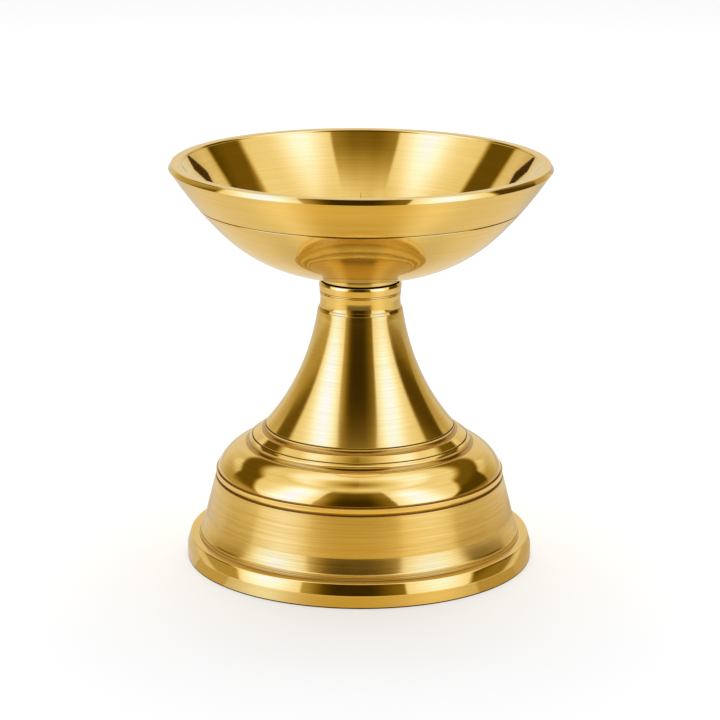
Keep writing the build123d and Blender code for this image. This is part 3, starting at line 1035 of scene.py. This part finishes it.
# Studio: a white floor, a soft room and a camera at the photograph's place.
# Turns are in degrees round the axis from the opening in front, and heights are in degrees above the floor.

STUDIO_TURN = 3.7
DEGREES = 180 / math.pi
WHITE = (1.0, 1.0, 1.0)


def turn_in_room(tree, across, towards_back):
    """Angle round the axis in degrees, from the middle of the opening in front."""
    forward = times(tree, towards_back, -1.0)
    turn = times(tree, math_node(tree, "ARCTAN2", across, forward), DEGREES)
    return plus(tree, turn, STUDIO_TURN)


def right_half(tree, turn):
    """0 on the left of the room and 1 on the right."""
    return rise(tree, turn, -10, 10)


def in_second_mirror(tree, rays):
    """1 where a reflection of a reflection is seen."""
    return math_node(tree, "GREATER_THAN", rays.outputs["Glossy Depth"], 1.5)


def floor_from_afar(tree, turn, distance, dim_front):
    """Colour of the floor where pieces well above it mirror it: painted golden light in front, paler at the
    sides, and painted shade by the foot.
    """
    front_gold = (1.0, 0.79, 0.30)
    side_cream = (1.0, 0.93, 0.77)
    by_foot, further_out = 0.69, 0.82
    side_glow = 0.24
    back_left, back_right = 0.80, 0.68
    side = math_node(tree, "ABSOLUTE", turn)
    # Painted shade: the mirrored floor is darker by the foot
    level = blend(tree, rise(tree, distance, 0.042, 0.075), by_foot, further_out)
    level = times(tree, level, dim_front)
    level = plus(tree, level, times(tree, peak(tree, side, 58, 14), side_glow))
    far_back = times(tree, rise(tree, side, 95, 125), rise(tree, distance, 0.12, 0.25))
    back = blend(tree, right_half(tree, turn), back_left, back_right)
    level = times(tree, level, blend(tree, far_back, 1.0, back))
    tone = mixed_colour(tree, rise(tree, side, 25, 60), front_gold, side_cream)
    return scaled(tree, tone, level)


def floor_close_by(tree, turn, distance, dim_front):
    """Colour of the floor where the drum and the foot mirror it, with painted golden light in front,
    painted shade by the foot, and the edges that show in the drum.
    """
    front_gold = (1.0, 0.75, 0.22)
    left_white, right_cream = (1.0, 0.97, 0.92), (1.0, 0.89, 0.64)
    left_gold, right_gold = (1.0, 0.79, 0.33), (1.0, 0.75, 0.26)
    left_back, right_back = (1.0, 0.91, 0.80), (1.0, 0.79, 0.42)
    by_foot, further_out = 0.62, 0.89
    shine_by_foot, shine_further_out = 0.36, 0.26
    blue_shine = (0.08, 0.25, 0.80)
    on_right = right_half(tree, turn)
    reach = times(tree, math_node(tree, "MAXIMUM", distance, foot_radius * MM), 2.0)
    swing = math_node(tree, "DIVIDE", reach, math_node(tree, "SUBTRACT", reach, drum_bead_radius * MM))
    mirrored = times(tree, turn, swing)
    side = math_node(tree, "ABSOLUTE", mirrored)
    first_edge = rise(tree, side, 85, 89)
    second_edge = rise(tree, side, 127, 131)
    # Painted shade: the mirrored floor is darker by the foot
    level = blend(tree, rise(tree, distance, 0.046, 0.080), by_foot, further_out)
    shine = blend(tree, rise(tree, distance, 0.050, 0.070), shine_by_foot, shine_further_out)
    level = plus(tree, level, times(tree, peak(tree, side, 56, 18), shine))
    level = times(tree, level, dim_front)
    level = blend(tree, first_edge, level, blend(tree, on_right, 0.57, 0.50))
    level = blend(tree, second_edge, level, blend(tree, on_right, 0.69, 0.57))
    side_tone = mixed_colour(tree, on_right, left_white, right_cream)
    tone = mixed_colour(tree, rise(tree, side, 5, 62), front_gold, side_tone)
    tone = mixed_colour(tree, first_edge, tone, mixed_colour(tree, on_right, left_gold, right_gold))
    tone = mixed_colour(tree, second_edge, tone, mixed_colour(tree, on_right, left_back, right_back))
    result = add_node(tree, "ShaderNodeVectorMath", operation="ADD")
    tree.links.new(scaled(tree, tone, level), result.inputs[0])
    tree.links.new(scaled(tree, blue_shine, peak(tree, mirrored, -55, 13)), result.inputs[1])
    return result.outputs[0]


def floor():
    """A white floor that keeps the shadow and is clear from below, with a painted warm glow round the foot
    and painted golden light and shade where the metal mirrors it.
    """
    matt_white = 0.90
    half_width = 3.0
    seen_share, mirrored_share = 0.60, 0.9
    painted_foot_bounce = (1.0, 0.965, 0.90)
    second_mirror = (0.74, 0.80, 1.05)
    dark_front_level = 0.15
    material, tree, shader = new_finish("white_floor")
    link = tree.links.new
    shader.inputs["Base Color"].default_value = (matt_white, matt_white, matt_white, 1)
    shader.inputs["Roughness"].default_value = 0.9
    parts = add_node(tree, "ShaderNodeSeparateXYZ")
    link(add_node(tree, "ShaderNodeTexCoord").outputs["Object"], parts.inputs[0])
    distance = from_axis(tree, parts)
    rays = add_node(tree, "ShaderNodeLightPath")
    turn = turn_in_room(tree, parts.outputs["X"], parts.outputs["Y"])
    in_front = fall(tree, math_node(tree, "ABSOLUTE", turn), 28, 42)
    far_front = times(tree, in_front, rise(tree, distance, 0.08, 0.45))
    dim_front = blend(tree, far_front, 1.0, dark_front_level)
    close_by = floor_close_by(tree, turn, distance, dim_front)
    afar = floor_from_afar(tree, turn, distance, dim_front)
    warm_white = mixed_colour(tree, rise(tree, rays.outputs["Ray Length"], 0.05, 0.07), close_by, afar)
    again = in_second_mirror(tree, rays)
    twice_seen = add_node(tree, "ShaderNodeVectorMath", operation="MULTIPLY")
    link(warm_white, twice_seen.inputs[0])
    link(mixed_colour(tree, again, WHITE, second_mirror), twice_seen.inputs[1])
    # Painted warm bounce from the brass round the foot, which the camera sees on the floor
    floor_with_painted_bounce = mixed_colour(tree, rise(tree, distance, 0.045, 0.085), painted_foot_bounce, WHITE)
    tint = mixed_colour(tree, rays.outputs["Is Glossy Ray"], floor_with_painted_bounce, twice_seen.outputs[0])
    glow = add_node(tree, "ShaderNodeEmission")
    link(tint, glow.inputs["Color"])
    mixed = add_node(tree, "ShaderNodeMixShader")
    seen_plainly = times(tree, rays.outputs["Is Camera Ray"], seen_share)
    seen_in_metal = times(tree, rays.outputs["Is Glossy Ray"], mirrored_share)
    link(plus(tree, seen_plainly, seen_in_metal), mixed.inputs["Fac"])
    link(shader.outputs[0], mixed.inputs[1])
    link(glow.outputs[0], mixed.inputs[2])
    from_below = add_node(tree, "ShaderNodeMixShader")
    link(add_node(tree, "ShaderNodeNewGeometry").outputs["Backfacing"], from_below.inputs["Fac"])
    link(mixed.outputs[0], from_below.inputs[1])
    link(add_node(tree, "ShaderNodeBsdfTransparent").outputs[0], from_below.inputs[2])
    link(from_below.outputs[0], tree.nodes["Material Output"].inputs["Surface"])
    mesh = bpy.data.meshes.new("floor")
    signs = ((-1, -1), (1, -1), (1, 1), (-1, 1))
    mesh.from_pydata([(x * half_width, y * half_width, 0) for x, y in signs], [], [(0, 1, 2, 3)])
    mesh.materials.append(material)
    plane = bpy.data.objects.new("floor", mesh)
    bpy.context.scene.collection.objects.link(plane)


def soft_boxes(tree, side, height, on_right):
    """Level of the soft boxes, one on each side of the opening."""
    around_boxes = 0.95
    box_foot = 0.55
    left_power = 4.1
    right_low, right_high = 2.4, 3.5
    glow = times(tree, peak(tree, side, 60.5, 12.3), fall(tree, height, 51, 69))
    glow = times(tree, glow, blend(tree, rise(tree, height, 2, 22), box_foot, 1.0))
    right_power = blend(tree, rise(tree, height, 8, 28), right_low, right_high)
    power = blend(tree, on_right, left_power, right_power)
    return plus(tree, times(tree, glow, power), around_boxes)


def dim_walls(tree, plain_side, height, on_right):
    """Level of the dim side walls, with a paler low part at the back."""
    left_low, left_high = 0.50, 0.15
    right_low, right_middle, right_high = 0.30, 0.09, 0.18
    back_edge, back_middle = 0.52, 0.84
    pale_band = 0.25
    left = blend(tree, rise(tree, height, 8, 22), left_low, left_high)
    right = blend(tree, rise(tree, height, 4, 12), right_low, right_middle)
    right = blend(tree, rise(tree, height, 24, 34), right, right_high)
    wall = blend(tree, on_right, left, right)
    leaning_side = plus(tree, plain_side, times(tree, height, -0.25))
    leaning_height = plus(tree, height, times(tree, plain_side, -0.15))
    low_part = times(tree, rise(tree, leaning_side, 122.0, 126.5), fall(tree, leaning_height, 4.0, 8.0))
    low_level = blend(tree, rise(tree, plain_side, 128, 162), back_edge, back_middle)
    pale_top = times(tree, rise(tree, height, 14, 22), fall(tree, plain_side, 146, 152))
    low_level = plus(tree, low_level, times(tree, pale_top, pale_band))
    return blend(tree, low_part, wall, low_level)


def pale_ceiling(tree, side, height, on_right):
    """Level of the ceiling, darker straight above, with a bright lobe towards each side."""
    left_level, right_level = 0.93, 1.04
    darker_above = -0.65
    lobe_level = 1.4
    dusk = times(tree, rise(tree, height, 72, 90), darker_above)
    level = plus(tree, dusk, blend(tree, on_right, left_level, right_level))
    tilted = plus(tree, height, times(tree, side, 0.15))
    lobes = times(tree, rise(tree, tilted, 74, 82), fall(tree, height, 66, 76))
    lobes = times(tree, lobes, times(tree, rise(tree, side, 60, 95), fall(tree, side, 150, 178)))
    return plus(tree, level, times(tree, lobes, lobe_level))


def dark_front(tree, turn, side, height):
    """Level inside the dark opening in front, with a paler top and sides and haze on the left."""
    darkest = 0.045
    top_rise, middle_rise, side_rise, left_haze = 0.78, 0.08, 0.22, 0.30
    level = plus(tree, times(tree, rise(tree, height, 61, 73), top_rise), darkest)
    level = plus(tree, level, times(tree, rise(tree, height, 40, 58), middle_rise))
    level = plus(tree, level, times(tree, rise(tree, side, 10, 36), side_rise))
    haze = times(tree, fall(tree, turn, -36, -18), fall(tree, height, 45, 55))
    return plus(tree, level, times(tree, haze, left_haze))


def mirrored_once(tree, level):
    """Colour of a level of light: golden where it is dim, and white on brass where it is strong."""
    red_limit, green_limit = 1.16, 1.60
    dim = math_node(tree, "MINIMUM", level, 1.0)
    strong = math_node(tree, "MAXIMUM", level, 1.0)
    red_rise = math_node(tree, "MINIMUM", math_node(tree, "POWER", strong, 0.25), red_limit)
    green_rise = math_node(tree, "MINIMUM", math_node(tree, "POWER", strong, 0.40), green_limit)
    green = times(tree, dim, plus(tree, times(tree, dim, 0.40), 0.60))
    colour = add_node(tree, "ShaderNodeCombineXYZ")
    tree.links.new(times(tree, dim, red_rise), colour.inputs["X"])
    tree.links.new(times(tree, green, green_rise), colour.inputs["Y"])
    tree.links.new(times(tree, math_node(tree, "POWER", dim, 2.6), strong), colour.inputs["Z"])
    return colour.outputs[0]


def mirrored_twice(tree, side, height):
    """Colour of the room in a reflection of a reflection, duller low down and in front."""
    low_colour, middle_colour, high_colour = (0.62, 0.58, 0.23), (0.93, 1.04, 1.48), (1.25, 1.45, 2.30)
    side_level, front_level = 0.90, 0.60
    colour = mixed_colour(tree, rise(tree, height, 0, 35), low_colour, middle_colour)
    colour = scaled(tree, colour, blend(tree, fall(tree, side, 25, 50), side_level, front_level))
    return mixed_colour(tree, rise(tree, height, 52, 72), colour, high_colour)


def room():
    """A white room with a soft box on each side, a dark opening in front and a pale wall behind."""
    plain_light = (0.80, 0.80, 0.80)
    world = bpy.data.worlds.new("studio")
    bpy.context.scene.world = world
    world.use_nodes = True
    tree = world.node_tree
    parts = add_node(tree, "ShaderNodeSeparateXYZ")
    tree.links.new(add_node(tree, "ShaderNodeTexCoord").outputs["Generated"], parts.inputs[0])
    turn = turn_in_room(tree, parts.outputs["X"], parts.outputs["Y"])
    height = times(tree, math_node(tree, "ARCSINE", parts.outputs["Z"]), DEGREES)
    side = math_node(tree, "ABSOLUTE", turn)
    plain_side = math_node(tree, "ABSOLUTE", plus(tree, turn, -STUDIO_TURN))
    on_right = right_half(tree, turn)
    boxes = soft_boxes(tree, side, height, on_right)
    walls = dim_walls(tree, plain_side, height, on_right)
    ceiling = pale_ceiling(tree, side, height, on_right)
    slant = math_node(tree, "SUBTRACT", side, times(tree, height, 0.86))
    around = blend(tree, rise(tree, slant, 71, 79), boxes, walls)
    upper = math_node(tree, "MAXIMUM", ceiling, boxes)
    around = blend(tree, rise(tree, height, 39, 47), around, upper)
    around = blend(tree, rise(tree, height, 66, 74), around, ceiling)
    opening = times(tree, fall(tree, side, 33.5, 36.5), fall(tree, height, 68, 76))
    level = blend(tree, opening, around, dark_front(tree, turn, side, height))
    rays = add_node(tree, "ShaderNodeLightPath")
    twice = in_second_mirror(tree, rays)
    colour = mixed_colour(tree, twice, mirrored_once(tree, level), mirrored_twice(tree, side, height))
    colour = mixed_colour(tree, rays.outputs["Is Glossy Ray"], plain_light, colour)
    tree.links.new(colour, tree.nodes["Background"].inputs["Color"])


def black_cards():
    """Two small dark cards behind the rim, which only the polished inside of the bowl mirrors."""
    near_axis, off_axis = 10.0, 21.0
    behind = 50.0
    bottom = rim_level + 3.7
    top = bottom + 6.0
    material, _, shader = new_finish("black_card")
    shader.inputs["Base Color"].default_value = (0.09, 0.05, 0.01, 1)
    shader.inputs["Specular IOR Level"].default_value = 0.0
    corners = []
    for way in (-1, 1):
        for across, height in ((near_axis, bottom), (off_axis, bottom), (off_axis, top), (near_axis, top)):
            corners.append((way * across * MM, behind * MM, height * MM))
    mesh = bpy.data.meshes.new("black_cards")
    mesh.from_pydata(corners, [], [(0, 1, 2, 3), (4, 5, 6, 7)])
    mesh.materials.append(material)
    cards = bpy.data.objects.new("black_cards", mesh)
    cards.visible_camera = False
    cards.visible_diffuse = False
    cards.visible_shadow = False
    bpy.context.scene.collection.objects.link(cards)


def top_lamp():
    """One soft lamp above and behind, which gives the floor its shadow."""
    place = Vector((0.0, 0.45, 0.8))
    aim = Vector((0, 0, 0.04))
    light = bpy.data.lights.new("top_lamp", "AREA")
    light.shape = "RECTANGLE"
    light.size = 0.9
    light.size_y = 0.6
    light.energy = 6.0
    lamp = bpy.data.objects.new("top_lamp", light)
    lamp.location = place
    lamp.rotation_euler = (aim - place).to_track_quat("-Z", "Y").to_euler()
    lamp.visible_glossy = False
    bpy.context.scene.collection.objects.link(lamp)


def camera():
    """A long lens, slightly above the rim, looking down at the lamp."""
    lens_pixels = 2784.0
    picture_width = 720.0
    sensor = 36.0
    pitch_down = 14.94
    roll = 0.3
    distance = 0.640
    height = 0.2186
    data = bpy.data.cameras.new("camera")
    data.sensor_width = sensor
    data.lens = lens_pixels / picture_width * sensor
    view = bpy.data.objects.new("camera", data)
    view.location = (0, -distance, height)
    level_turn = Euler((math.radians(90.0 - pitch_down), 0, 0)).to_matrix()
    view.rotation_euler = (level_turn @ Matrix.Rotation(math.radians(roll), 3, "Z")).to_euler()
    bpy.context.scene.collection.objects.link(view)
    bpy.context.scene.camera = view


floor()
room()
black_cards()
top_lamp()
camera()
bpy.context.scene.view_settings.view_transform = "Standard"
